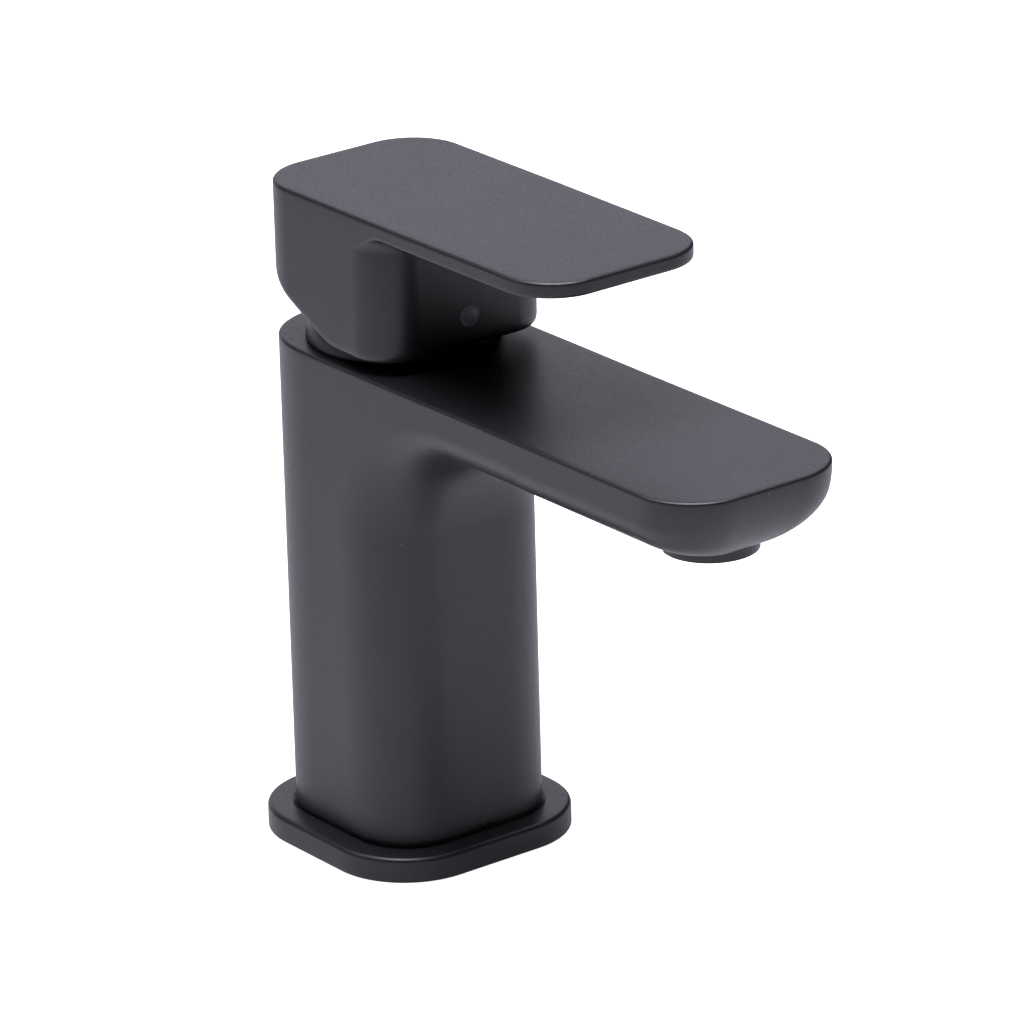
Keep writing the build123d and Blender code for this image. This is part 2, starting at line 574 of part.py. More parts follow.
# ---- lever: hub and plate in one casting ----
with BuildPart() as hub:
    with BuildSketch(Plane.XY.offset(hub_bottom)):
        plan_outline(HUB_FRONT, LEVER_REAR, half_lever, half_lever, HUB_FRONT_CORNER, LEVER_REAR_CORNER)
    extrude(amount=lever_underside + LEVER_THICKNESS / 2 - hub_bottom)
    # the rear of the underside slopes up, so that the hub clears the body when the lever is lifted
    with BuildSketch(Plane.YZ):
        Polygon(
            (-HUB_UNDERCUT_START, hub_bottom),
            (undercut_rear, hub_bottom + undercut_rise),
            (undercut_rear, hub_bottom - CUT_MARGIN),
            (-HUB_UNDERCUT_START, hub_bottom - CUT_MARGIN),
            align=None,
        )
    extrude(amount=lever_width, both=True, mode=Mode.SUBTRACT)
    crease = hub.edges().filter_by(Axis.X).filter_by_position(
        Axis.Y, -HUB_UNDERCUT_START - PICK_MARGIN, -HUB_UNDERCUT_START + PICK_MARGIN
    )
    lower_edges = hub.edges() - hub.edges().filter_by(Axis.Z) - hub.edges().group_by(Axis.Z)[-1] - crease
    fillet(lower_edges, HUB_EDGE_ROUND)

with BuildPart() as lever_handle:
    with BuildSketch(Plane.XY.offset(lever_underside)):
        Polygon(
            (-half_lever + LEVER_TIP_NARROWING, -LEVER_REACH),
            (half_lever - LEVER_TIP_NARROWING, -LEVER_REACH),
            (half_lever, -HUB_FRONT),
            (half_lever, LEVER_REAR),
            (-half_lever, LEVER_REAR),
            (-half_lever, -HUB_FRONT),
            align=None,
        )
        fillet(vertices().sort_by(Axis.Y)[:2], LEVER_TIP_CORNER)
        fillet(vertices().sort_by(Axis.Y)[-2:], LEVER_REAR_CORNER)
    extrude(amount=LEVER_THICKNESS)
    fillet(lever_handle.edges().group_by(Axis.Z)[-1], LEVER_EDGE_ROUND)
    fillet(lever_handle.edges().group_by(Axis.Z)[0], LEVER_EDGE_ROUND)
    add(hub.part)
    # round hollow over the dome, about the same centre
    with Locations((0, 0, pivot_height)):
        Sphere(hollow_radius, mode=Mode.SUBTRACT)
    # square socket for the stem, the screw's hole, its cover's seat, and the marker's seat
    with BuildSketch(Plane.XY.offset(pivot_height)):
        Rectangle(STEM_SIZE + 2 * SLIP_GAP, STEM_SIZE + 2 * SLIP_GAP)
    extrude(amount=stem_top + SLIP_GAP - pivot_height, mode=Mode.SUBTRACT)
    with BuildSketch(Plane.ZX):
        with Locations((screw_height, 0)):
            Circle(SCREW_RADIUS + PIVOT_GAP)
    extrude(amount=LEVER_REAR, mode=Mode.SUBTRACT)
    with BuildSketch(Plane.ZX.offset(LEVER_REAR - SCREW_COVER_DEPTH)):
        with Locations((screw_height, 0)):
            Circle(SCREW_COVER_RADIUS + PIVOT_GAP)
    extrude(amount=SCREW_COVER_DEPTH, mode=Mode.SUBTRACT)
    with BuildSketch(Plane.XZ.offset(HUB_FRONT - MARKER_DEPTH)):
        with Locations((0, marker_height)):
            Circle(MARKER_RADIUS + PIVOT_GAP)
    extrude(amount=MARKER_DEPTH, mode=Mode.SUBTRACT)
finish(lever_handle, "lever_handle")

with BuildPart() as handle_screw:
    with BuildSketch(Plane.ZX.offset(STEM_SIZE / 2)):
        with Locations((screw_height, 0)):
            Circle(SCREW_RADIUS)
    extrude(amount=SCREW_LENGTH)
    with BuildSketch(Plane.ZX.offset(STEM_SIZE / 2 + SCREW_LENGTH - SCREW_SOCKET_DEPTH)):
        with Locations((screw_height, 0)):
            RegularPolygon(SCREW_SOCKET_RADIUS, 6)
    extrude(amount=SCREW_SOCKET_DEPTH, mode=Mode.SUBTRACT)
finish(handle_screw, "handle_screw")

with BuildPart() as screw_cover:
    with BuildSketch(Plane.ZX.offset(LEVER_REAR - SCREW_COVER_DEPTH)):
        with Locations((screw_height, 0)):
            Circle(SCREW_COVER_RADIUS)
    extrude(amount=SCREW_COVER_DEPTH)
finish(screw_cover, "screw_cover")

with BuildPart() as marker_dot:
    with BuildSketch(Plane.XZ.offset(HUB_FRONT - MARKER_DEPTH)):
        with Locations((0, marker_height)):
            Circle(MARKER_RADIUS)
    extrude(amount=MARKER_DEPTH)
finish(marker_dot, "marker_dot")

# ---- aerator: threaded ring with a lip, the jet insert on the lip, and the seal above them ----
with BuildPart() as aerator_housing:
    with BuildSketch(Plane.XY.offset(aerator_bottom)):
        with Locations(aerator_centre):
            Circle(AERATOR_RADIUS)
            Circle(AERATOR_RADIUS - AERATOR_WALL - AERATOR_LIP_WIDTH, mode=Mode.SUBTRACT)
    extrude(amount=aerator_top - aerator_bottom)
    with BuildSketch(Plane.XY.offset(aerator_bottom + AERATOR_LIP_HEIGHT)):
        with Locations(aerator_centre):
            Circle(AERATOR_RADIUS - AERATOR_WALL)
    extrude(amount=aerator_top - aerator_bottom, mode=Mode.SUBTRACT)
    # slots for the fitting key, in the lower rim
    with BuildSketch(Plane.XY.offset(aerator_bottom)):
        with Locations(aerator_centre):
            with PolarLocations(AERATOR_RADIUS, KEY_SLOTS, start_angle=KEY_SLOT_START):
                Rectangle(2 * AERATOR_WALL, KEY_SLOT_WIDTH)
    extrude(amount=KEY_SLOT_DEPTH, mode=Mode.SUBTRACT)
finish(aerator_housing, "aerator_housing")

with BuildPart() as aerator_insert:
    with BuildSketch(Plane.XY.offset(aerator_bottom + AERATOR_LIP_HEIGHT)):
        with Locations(aerator_centre):
            Circle(AERATOR_RADIUS - AERATOR_WALL - SLIP_GAP)
            Circle(JET_RADIUS, mode=Mode.SUBTRACT)
            for ring_radius, jets in JET_RINGS:
                with PolarLocations(ring_radius, jets):
                    Circle(JET_RADIUS, mode=Mode.SUBTRACT)
    extrude(amount=JET_PLATE_HEIGHT)
    with BuildSketch(Plane.XY.offset(aerator_bottom + AERATOR_LIP_HEIGHT + JET_PLATE_HEIGHT)):
        with Locations(aerator_centre):
            Circle(AERATOR_RADIUS - AERATOR_WALL - SLIP_GAP)
            Circle(AERATOR_RADIUS - AERATOR_WALL - SLIP_GAP - JET_RADIUS, mode=Mode.SUBTRACT)
    extrude(amount=aerator_top - aerator_bottom - AERATOR_LIP_HEIGHT - JET_PLATE_HEIGHT)
finish(aerator_insert, "aerator_insert")

with BuildPart() as aerator_seal:
    with BuildSketch(Plane.XY.offset(aerator_top)):
        with Locations(aerator_centre):
            Circle(AERATOR_RADIUS)
            Circle(AERATOR_RADIUS - AERATOR_SEAL_BAND, mode=Mode.SUBTRACT)
    extrude(amount=AERATOR_SEAL_HEIGHT)
finish(aerator_seal, "aerator_seal")

# ---- deck fixing: stud, and the horseshoe clamp that its nut pulls up under the deck ----
with BuildPart() as mounting_stud:
    with BuildSketch(Plane.XY.offset(-STUD_BELOW_DECK)):
        with Locations(stud_centre):
            Circle(STUD_RADIUS)
    extrude(amount=STUD_BELOW_DECK + FOOT_CAVITY_TOP + STUD_GRIP - SLIP_GAP)
    chamfer(mounting_stud.edges().group_by(Axis.Z)[0], STUD_CHAMFER)
finish(mounting_stud, "mounting_stud")

for name, bottom, thickness in (
    ("clamp_gasket", clamp_gasket_bottom, CLAMP_GASKET_THICKNESS),
    ("clamp_plate", clamp_plate_bottom, CLAMP_PLATE_THICKNESS),
):
    with BuildPart() as horseshoe:
        with BuildSketch(Plane.XY.offset(bottom)):
            Circle(CLAMP_RADIUS)
            with Locations((0, -CLAMP_SLOT_EDGE)):
                Rectangle(
                    CLAMP_SLOT_WIDTH,
                    2 * CLAMP_RADIUS,
                    align=(Align.CENTER, Align.MIN),
                    mode=Mode.SUBTRACT,
                )
            with Locations(stud_centre):
                Circle(CLAMP_HOLE_RADIUS, mode=Mode.SUBTRACT)
        extrude(amount=thickness)
    finish(horseshoe, name)

with BuildPart() as clamp_nut:
    with BuildSketch(Plane.XY.offset(clamp_plate_bottom - CLAMP_NUT_HEIGHT)):
        with Locations(stud_centre):
            RegularPolygon(CLAMP_NUT_ACROSS / 2, 6, major_radius=False)
            Circle(STUD_RADIUS + PIVOT_GAP, mode=Mode.SUBTRACT)
    extrude(amount=CLAMP_NUT_HEIGHT)
finish(clamp_nut, "clamp_nut")
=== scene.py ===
# %% [markdown]
# # A matt black basin mixer, one lever
#
# The object stands on a deck: a thin base plate, a column with rounded corners, a flat spout that
# grows out of the column's head, and on top a flat lever on a hub. All of it is cast metal under a
# fine powder coat. The CAD model gives every size. This lesson builds the visible skins as surfaces
# worked out with numpy, in metres, in the CAD model's own frame: +Z is up and the spout points
# along -Y. The small hard parts inside and under the deck keep their CAD shape and only get a finish.

# %% load the frame
import json
import bmesh
import bpy
import numpy as np
from mathutils import Matrix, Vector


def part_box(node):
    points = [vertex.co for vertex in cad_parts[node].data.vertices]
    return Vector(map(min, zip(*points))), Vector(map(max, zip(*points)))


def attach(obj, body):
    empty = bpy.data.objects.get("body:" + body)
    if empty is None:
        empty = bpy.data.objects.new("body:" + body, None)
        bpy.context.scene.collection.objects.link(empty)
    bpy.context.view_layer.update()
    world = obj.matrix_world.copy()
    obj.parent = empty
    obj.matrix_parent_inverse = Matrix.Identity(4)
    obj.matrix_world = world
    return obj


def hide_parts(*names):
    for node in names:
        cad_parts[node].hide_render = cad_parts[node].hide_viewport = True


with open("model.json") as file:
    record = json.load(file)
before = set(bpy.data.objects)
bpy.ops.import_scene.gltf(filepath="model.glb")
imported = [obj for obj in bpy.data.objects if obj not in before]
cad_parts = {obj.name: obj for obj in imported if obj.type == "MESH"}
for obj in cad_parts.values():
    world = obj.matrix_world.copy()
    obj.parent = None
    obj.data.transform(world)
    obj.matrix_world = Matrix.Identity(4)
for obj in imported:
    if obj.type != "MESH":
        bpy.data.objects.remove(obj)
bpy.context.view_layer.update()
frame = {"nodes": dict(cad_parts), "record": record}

# %% [markdown]
# ## Sizes
# Each size is read from the box of a CAD node wherever a box can give it. Radii and slopes, which a
# box can't give, are written once here, in millimetres, and `MM` turns them into metres.

# %% sizes from the boxes and the radii
MM = 0.001
low, high = (np.array(c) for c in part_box("faucet_body"))
tip_y, head_rear, body_top, half_column = low[1], high[1], high[2], high[0]
plate_high = np.array(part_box("base_plate")[1])
lever_low, lever_high = (np.array(c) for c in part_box("lever_handle"))
column_foot = plate_high[2]
half_spout = 21.8 * MM
column_corner, head_corner = 13.9 * MM, 17.8 * MM
spout_side, belly_depth, belly_run = 5.3 * MM, 10.8 * MM, 16.0 * MM
spout_corner = 13.5 * MM
belly_top = body_top - spout_side
print("spout reaches", round(-tip_y / MM, 1), "mm, body is", round(body_top / MM, 1), "mm high")

# %% [markdown]
# ## From arrays to meshes
# Every new piece is a grid of points: `rows` runs along a profile and `columns` round the outline.
# The helper joins neighbours into quads. A closed outline wraps round, and the first and last rows
# can be closed by one flat face each. Faces are wound so that they look outwards.

# %% grid to mesh
def grid_faces(rows, columns, wrap):
    """Quads between neighbouring rows and columns, as an array of four point numbers each."""
    r = np.arange(rows - 1)[:, None]
    c = np.arange(columns if wrap else columns - 1)[None, :]
    after = (c + 1) % columns
    corners = [r * columns + c, r * columns + after, (r + 1) * columns + after, (r + 1) * columns + c]
    return np.stack(corners, -1).reshape(-1, 4)


def add_mesh(name, points, faces):
    """One object at the origin from points in metres and a list of faces."""
    mesh = bpy.data.meshes.new(name)
    mesh.from_pydata(np.asarray(points).tolist(), [], [list(f) for f in faces])
    mesh.validate()
    mesh.shade_smooth()
    piece = bpy.data.objects.new(name, mesh)
    bpy.context.scene.collection.objects.link(piece)
    return piece


def closed_skin(name, grid):
    """A skin whose rows are closed loops; a flat face closes the first and the last row."""
    rows, columns, _ = grid.shape
    faces = grid_faces(rows, columns, True).tolist()
    faces.append(list(range(columns))[::-1])
    faces.append([(rows - 1) * columns + c for c in range(columns)])
    return outward(add_mesh(name, grid.reshape(-1, 3), faces))


def outward(piece):
    """Turns all faces outwards if the signed volume of the closed skin is negative."""
    mesh = piece.data
    mesh.calc_loop_triangles()
    points = np.empty(len(mesh.vertices) * 3)
    mesh.vertices.foreach_get("co", points)
    corners = np.empty(len(mesh.loop_triangles) * 3, dtype=np.int32)
    mesh.loop_triangles.foreach_get("vertices", corners)
    a, b, c = points.reshape(-1, 3)[corners.reshape(-1, 3)].transpose(1, 0, 2)
    volume = np.einsum("ij,ij->i", a, np.cross(b, c)).sum() / 6
    if volume < 0:
        mesh.flip_normals()
    print(piece.name, len(mesh.loop_triangles), "triangles,", round(abs(volume) / MM ** 3 / 1000, 1), "cm3")
    return piece


# %% even spacing
def spaced(start, end, n):
    """n numbers evenly from start towards end, the end left out."""
    return start + (end - start) * np.linspace(0, 1, n, endpoint=False)


# %% [markdown]
# ## Outlines
# Seen from above every piece is a four-sided shape with round corners. Only the right half, x >= 0,
# is worked out: it runs from the front centre round to the rear centre, and the left half is its
# mirror image. Sample points are given to straight runs and to corner arcs separately, so an
# outline moved inwards by a rounding keeps its points abreast of the first one.

# %% outline of one piece
def half_outline(front, rear, half_front, half_rear, front_corner, rear_corner, counts):
    """Right half of a rounded four-sided outline.

    The front run goes out from the centre line, the front arc turns about its centre, the side
    runs straight back, then come the rear arc and the rear run. counts gives the steps of each.
    """
    n_front, n_arc, n_side, n_rear_arc, n_rear = counts
    front_centre = np.array([half_front - front_corner, -front + front_corner])
    rear_centre = np.array([half_rear - rear_corner, rear - rear_corner])
    turn = np.linspace(-np.pi / 2, 0, n_arc + 1)
    front_arc = front_centre + front_corner * np.stack([np.cos(turn), np.sin(turn)], 1)
    turn = np.linspace(0, np.pi / 2, n_rear_arc + 1)
    rear_arc = rear_centre + rear_corner * np.stack([np.cos(turn), np.sin(turn)], 1)
    def run(start, end, n):
        return start + (end - start) * np.linspace(0, 1, n, endpoint=False)[:, None]

    return np.concatenate([
        run(np.array([0, -front]), front_arc[0], n_front), front_arc[:-1],
        run(front_arc[-1], rear_arc[0], n_side), rear_arc[:-1],
        run(rear_arc[-1], np.array([0, rear]), n_rear), np.array([[0, rear]])])


def mirrored(half):
    """A whole loop from rows of a right half: the left half is added with x turned round."""
    left = half[:, -2:0:-1].copy()
    left[..., 0] *= -1
    return np.concatenate([half, left], 1)


def level(outline, z):
    """An outline lifted to height z, as points in space."""
    heights = np.broadcast_to(np.asarray(z, float).reshape(-1, 1), (len(outline), 1))
    return np.concatenate([outline, heights], 1)


# %% [markdown]
# ## The base plate
# A turned-over dish in sheet metal: an upright rim, a small round on its upper edge, and a flat top
# with a slit of shadow where the column stands in it. It is a profile carried round the outline: the
# profile moves inwards as it climbs over the edge.

# %% base plate
def plate_skin():
    """Rows climb the rim, go over a quarter circle of the edge radius, then inwards to the column.

    A row at inset d is the outline with every half size and corner radius smaller by d.
    """
    corner, edge = 17.2 * MM, 1.0 * MM
    half_x, half_y, top = plate_high[0], plate_high[1], plate_high[2]
    foot, hollow, groove = 0.35 * MM, 4.0 * MM, 0.25 * MM
    steps = np.radians(np.linspace(0, 90, 9))
    inset = np.concatenate([[hollow + 5 * MM, foot, foot / 3, 0, 0], edge * (1 - np.cos(steps)),
                            [1.6 * MM, 3 * MM, 5.0 * MM, 5.35 * MM, 5.5 * MM, 7 * MM]])
    height = np.concatenate([[0, 0, foot / 3, foot, top / 2], top - edge + edge * np.sin(steps),
                             [top, top, top, top - groove / 3, top - groove, top - groove]])
    rows = [level(half_outline(half_y - d, half_y - d, half_x - d, half_x - d, corner - d, corner - d,
                               (14, 24, 14, 24, 14)), z) for d, z in zip(inset, height)]
    return closed_skin("base_plate_skin", mirrored(np.array(rows)))


base_plate_skin = plate_skin()
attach(base_plate_skin, "faucet")
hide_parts("base_plate")

# %% [markdown]
# ## Column and spout
# One casting. The column is a rounded four-sided prism that widens a little to the rear as it
# climbs, and its corners are a little squarer than arcs, so the flats run softly into them. The
# spout has a short upright side and an elliptical belly. Under the spout the column's round front
# corner turns into that belly through a wide hollow bend.
#
# The skin is where a distance is zero: negative inside, positive outside. In the bend the distance
# is measured in planes that fan out from the bend's centre line, so the sides stay flush and the
# corner's radius turns smoothly into the belly's ellipse. A grid of first guesses is then pulled
# onto the zero level by a few Newton steps.

# %% distances
root_radius = 20.0 * MM
tip_run, tip_turn = 14.0 * MM, np.radians(72)
belly_turn = np.radians(68)
belly_low = belly_top - belly_depth * np.sin(belly_turn)
bend_y, bend_z = -half_column - root_radius, belly_low - root_radius


def smooth_step(t):
    """0 to 1 with level ends: three t squared less two t cubed."""
    t = np.clip(t, 0, 1)
    return t * t * (3 - 2 * t)


def smooth_max(a, b, r):
    """The larger of two distances, with the corner between them rounded at radius r."""
    return np.minimum(np.maximum(a, b), -r) + np.hypot(np.maximum(a + r, 0), np.maximum(b + r, 0))


corner_power, corner_growth = 2.5, 1.21


def corner_length(a, b):
    """Length of (a, b) in a power sum a little squarer than a circle's, so flats run softly into corners."""
    return ((a + 1e-9) ** corner_power + (b + 1e-9) ** corner_power) ** (1 / corner_power)


def rear_distance(p):
    """Signed distance in plan to the column's sides and rear, its rear moving back with height."""
    t = np.clip((p[..., 2] - column_foot) / (body_top - column_foot), 0, 1)
    corner = corner_growth * (column_corner + (head_corner - column_corner) * t)
    out_x = np.abs(p[..., 0]) - (half_column - corner)
    out_y = p[..., 1] - (half_column + (head_rear - half_column) * t - corner)
    outside = corner_length(np.maximum(out_x, 0), np.maximum(out_y, 0))
    return outside + np.minimum(np.maximum(out_x, out_y), 0) - corner


def front_distance(p):
    """Distance to the sides, the column's front, the bend and the belly.

    In the fan's plane through a point, d is how far it lies from the bend's centre line. The section
    there is the side plane, a quarter ellipse, and a flat at d equal to the bend's radius.
    """
    ahead, above = np.maximum(p[..., 1] - bend_y, 0), np.maximum(p[..., 2] - bend_z, 0)
    beside = np.where(p[..., 2] < bend_z, p[..., 1] - bend_y, np.hypot(ahead, above))
    d = np.where(p[..., 1] < bend_y, p[..., 2] - bend_z, beside)
    turned = smooth_step(np.arctan2(ahead, above + 1e-12) / (np.pi / 2))
    turned = np.where(p[..., 1] < bend_y, 0, np.where(p[..., 2] < bend_z, 1, turned))
    narrowing = smooth_step((-p[..., 1] - half_column) / (30 * MM))
    half = half_column + (half_spout - half_column) * narrowing
    front_corner = corner_growth * column_corner
    rx = half_spout + (front_corner - half_spout) * turned
    ry = belly_depth + (front_corner - belly_depth) * turned
    centre = root_radius + (belly_top - belly_low) * (1 - turned) + front_corner * turned
    power = 2 + (corner_power - 2) * turned
    out_x, out_d = np.maximum(np.abs(p[..., 0]) - half + rx, 0), np.maximum(centre - d, 0)
    near = ((out_x / rx + 1e-9) ** power + (out_d / ry + 1e-9) ** power) ** (1 / power)
    steep = np.hypot(out_x / rx ** 2, out_d / ry ** 2) + 1e-9
    return smooth_max(near * (near - 1) / steep, root_radius - d, 0.3 * MM)


def body_distance(p):
    """The sides, the rear, the front, the bend and the belly together."""
    return np.maximum(rear_distance(p), front_distance(p))


def pull_onto(distance, points, steps):
    """Newton steps towards the zero level of a distance, along its gradient."""
    h = 1e-6
    for _ in range(steps):
        slope = np.stack([(distance(points + h * axis) - distance(points - h * axis)) / (2 * h)
                          for axis in np.eye(3)], -1)
        size = (slope ** 2).sum(-1, keepdims=True) + 1e-6
        points = points - 0.8 * distance(points)[..., None] * slope / size
    return points


# %% [markdown]
# ### The body's grid
# The skin hangs from the top outline like a skirt. Along the spout its columns end on the keel under
# the middle. In the bend their lower ends walk down the middle of the column's front, and round the
# column they end at its foot. So the sharp top edge always follows a row, and the bend is covered
# by a fan of rows instead of a seam.

# %% body skin
def column_point(a, z):
    """Point on the column's wall at share a round its right half, 0 at the front centre, and height z."""
    counts = (60, 160, 60, 200, 60)
    half, corner = half_column, column_corner
    foot = half_outline(half, half, half, half, corner, corner, counts)
    head = half_outline(half, head_rear, half, half, corner, head_corner, counts)
    share = np.concatenate([[0], np.cumsum(np.hypot(*np.diff(foot, axis=0).T))])
    share = share / share[-1]
    t = (z - column_foot) / (body_top - column_foot)
    x = np.interp(a, share, foot[:, 0]) * (1 - t) + np.interp(a, share, head[:, 0]) * t
    y = np.interp(a, share, foot[:, 1]) * (1 - t) + np.interp(a, share, head[:, 1]) * t
    return np.stack([x, y, z + 0 * a], -1)


def section_rows(n_side, n_belly, n_flat):
    """Half width share k and drop share m of each row: down the side, round the ellipse, to the keel."""
    turn = np.linspace(0, belly_turn, n_belly + 1)[1:]
    flat = np.linspace(np.cos(belly_turn), 0, n_flat + 1)[1:]
    k = np.concatenate([np.ones(n_side), np.cos(turn), flat])
    drop = np.concatenate([np.linspace(0, spout_side, n_side), spout_side + belly_depth * np.sin(turn),
                           np.full(n_flat, spout_side + belly_depth * np.sin(belly_turn))])
    return k, drop / drop[-1]


def body_skin():
    """The whole skin: tip and free spout from formulas, bend and column pulled onto body_distance."""
    k, m = section_rows(16, 56, 14)
    rows = len(k)
    edge = 0.6 * MM
    top = body_top - edge
    depth = top - belly_low
    # tip: every row is the plan outline, narrowed by the ellipse and drawn in along an arc
    n_tip, n_corner = 18, 40
    drawn_in = tip_run * (1 - np.sqrt(1 - (np.sin(tip_turn) * m) ** 2))
    drawn_in += (belly_run - drawn_in[-1]) * (1 - k / np.cos(belly_turn)) * (m > 1 - 1e-9)
    counts = (n_tip, n_corner, 1, 1, 1)
    tip = np.array([level(half_outline(-tip_y - inset, 0, half_spout * kk + 1e-9, half_spout * kk + 1e-9,
                                       spout_corner * kk, 1e-9, counts)[:n_tip + n_corner],
                          top - depth * mm) for kk, mm, inset in zip(k, m, drawn_in)])
    # free spout: straight sections; each column slides forward a little as the belly's tip draws in
    side_from, bend_from, bend_to = tip_y + spout_corner, -52 * MM, -4 * MM
    y0 = np.linspace(side_from, bend_from, 70)
    start = tip_y + drawn_in + spout_corner * k
    share = (y0[None, :] - side_from) / (bend_from - side_from)
    y = start[:, None] + share * (bend_from - start[:, None])
    spout = np.stack([half_spout * k[:, None] + 0 * y, y, (top - depth * m)[:, None] + 0 * y], -1)
    # bend: upper ends go back along the side, lower ends round the root and down the front
    f = np.linspace(0, 1, 72)[1:]
    upper = np.stack([half_spout + 0 * f, bend_from + (bend_to - bend_from) * f, top + 0 * f], -1)
    turn = np.radians(np.linspace(0, 90, 30))
    front_low = 52 * MM
    root = np.concatenate([
        np.stack([np.linspace(bend_from, -half_column - root_radius, 20), np.full(20, belly_low)], -1),
        np.stack([-half_column - root_radius * (1 - np.sin(turn)),
                  belly_low - root_radius * (1 - np.cos(turn))], -1)[1:],
        np.stack([np.full(20, -half_column), np.linspace(belly_low - root_radius, front_low, 20)], -1)[1:]])
    way = np.concatenate([[0], np.cumsum(np.hypot(*np.diff(root, axis=0).T))])
    walked = f * way[-1]
    lower = np.stack([0 * f, np.interp(walked, way, root[:, 0]), np.interp(walked, way, root[:, 1])], -1)
    fan = upper[None] + (lower - upper)[None] * m[:, None, None]
    fan[..., 0] = half_spout * k[:, None]
    # column: straight lines on the unrolled wall, from the top outline to the front line and the foot
    wall = column_point(np.linspace(0, 1, 4001), np.full(4001, top))
    a_start = np.interp(bend_to, wall[:, 1], np.linspace(0, 1, 4001))
    v = np.linspace(0, 1, rows)
    a_fan = np.interp(upper[:, 1], wall[:, 1], np.linspace(0, 1, 4001))
    laid = column_point(a_fan[None] * (1 - v[:, None]), top + (lower[:, 2] - top)[None] * v[:, None])
    into = smooth_step((f - 0.55) / 0.45)[None, :, None]
    fan = fan * (1 - into) + laid * into
    n_down, n_round = 50, 110
    low_a = np.concatenate([np.zeros(n_down), np.linspace(0, 1, n_round)])
    low_z = np.concatenate([spaced(front_low, column_foot, n_down + 1)[1:], np.full(n_round, column_foot)])
    go = np.concatenate([[0], np.cumsum(np.hypot(np.diff(low_a) * 150 * MM, np.diff(low_z)))])
    up_a = a_start + (1 - a_start) * (go + 1.2 * MM) / (go[-1] + 1.2 * MM)
    column = column_point(up_a[None] + (low_a - up_a)[None] * v[:, None],
                          top + (low_z - top)[None] * v[:, None])
    # pull onto the distance and even the spacing out
    loose = np.concatenate([spout[:, -16:], fan, column], 1)
    fixed = loose[:, :1].copy()
    loose = pull_onto(body_distance, loose, 25)
    for _ in range(60):
        even = 0.25 * (loose[2:, 1:-1] + loose[:-2, 1:-1] + loose[1:-1, 2:] + loose[1:-1, :-2])
        loose[1:-1, 1:-1] = 0.5 * loose[1:-1, 1:-1] + 0.5 * even
        loose = pull_onto(body_distance, loose, 1)
        loose[0, :, 2] = top
        loose[-1, len(f) + 16 + n_down:, 2] = column_foot
        loose[-1, :, 0] = np.where(np.arange(loose.shape[1]) < len(f) + 16 + n_down + 1, 0, loose[-1, :, 0])
        loose[:, -1, 0] = 0
        loose[:, 0] = fixed[:, 0]
    right = np.concatenate([tip, spout[:, :-16], loose], 1)
    # top edge: a quarter circle inwards along the outline's own normals, then the flat top
    along = np.gradient(right[0, :, :2], axis=0)
    along[0], along[-1] = (1, 0), (-1, 0)
    normal = np.stack([along[:, 1], -along[:, 0]], -1) / np.hypot(*along.T)[:, None]
    turn = np.radians(np.linspace(0, 90, 7))[1:]
    inset = np.concatenate([edge * (1 - np.cos(turn)), [1.5 * MM, 4 * MM]])
    lift = np.concatenate([edge * np.sin(turn), [edge, edge]])
    over = np.stack([np.concatenate([right[0, :, :2] - normal * d, np.full((right.shape[1], 1), top + h)], 1)
                     for d, h in zip(inset, lift)])
    over[:, [0, -1], 0] = 0
    foot_from = tip.shape[1] + spout.shape[1] + len(f) + n_down
    return np.concatenate([over[::-1], right]), foot_from


def two_halves(name, right, foot_from):
    """Right half and its mirror image in one mesh, joined at x = 0, with a flat top and a flat foot."""
    rows, columns, _ = right.shape
    left = right * np.array([-1, 1, 1])
    quads = grid_faces(rows, columns, False)
    faces = quads.tolist() + (quads[:, ::-1] + rows * columns).tolist()
    round_top = np.arange(columns)
    faces.append((list(round_top) + list(round_top[::-1][1:-1] + rows * columns)))
    foot = (rows - 1) * columns + np.arange(foot_from, columns)
    faces.append(list(foot[::-1]) + list(foot[1:-1] + rows * columns))
    piece = add_mesh(name, np.concatenate([right.reshape(-1, 3), left.reshape(-1, 3)]), faces)
    solid = bmesh.new()
    solid.from_mesh(piece.data)
    bmesh.ops.remove_doubles(solid, verts=solid.verts, dist=2e-6)
    bmesh.ops.dissolve_degenerate(solid, edges=solid.edges, dist=1e-7)
    bmesh.ops.recalc_face_normals(solid, faces=solid.faces)
    open_edges = sum(not e.is_manifold for e in solid.edges)
    solid.to_mesh(piece.data)
    solid.free()
    piece.data.shade_smooth()
    print(name, "open edges:", open_edges)
    return outward(piece)


body_right, foot_from = body_skin()
faucet_skin = two_halves("faucet_body_skin", body_right, foot_from)
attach(faucet_skin, "faucet")
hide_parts("faucet_body")

# %% [markdown]
# ## The lever
# A flat plate and a hub in one casting. At the sides and the rear the hub is flush with the plate.
# In front the plate runs on alone, and its underside meets the hub in a hollow curve that runs out
# on the side as a soft hook.
#
# The skin is one profile carried round the outline: top, edge, rim, lower edge, underside, hollow
# curve, hub wall, lower edge, and the round hollow inside. Each outline point is paired with the hub
# point that lies on the same ray from the centre of the hub's corner, so the profile shortens
# smoothly to nothing where hub and plate come together.

# %% lever sizes
lever_top, lever_reach, lever_rear, half_lever = lever_high[2], -lever_low[1], lever_high[1], lever_high[0]
plate_under = lever_top - 3.2 * MM
hub_front, hub_corner = 22.0 * MM, 9.5 * MM
hub_low = lever_low[2]
hollow_radius = 4.0 * MM
undercut, undercut_from = np.tan(np.radians(27.0)), -3.4 * MM
pivot_height = 105.0 * MM
dome_hollow = 20.42 * MM


# %% lever outline and profile
def hub_floor(y):
    """Height of the hub's underside: level in front, then rising to the rear, with a soft change."""
    rise = (y - undercut_from) * undercut
    return hub_low + 0.5 * (rise + np.sqrt(rise ** 2 + (0.8 * MM) ** 2))


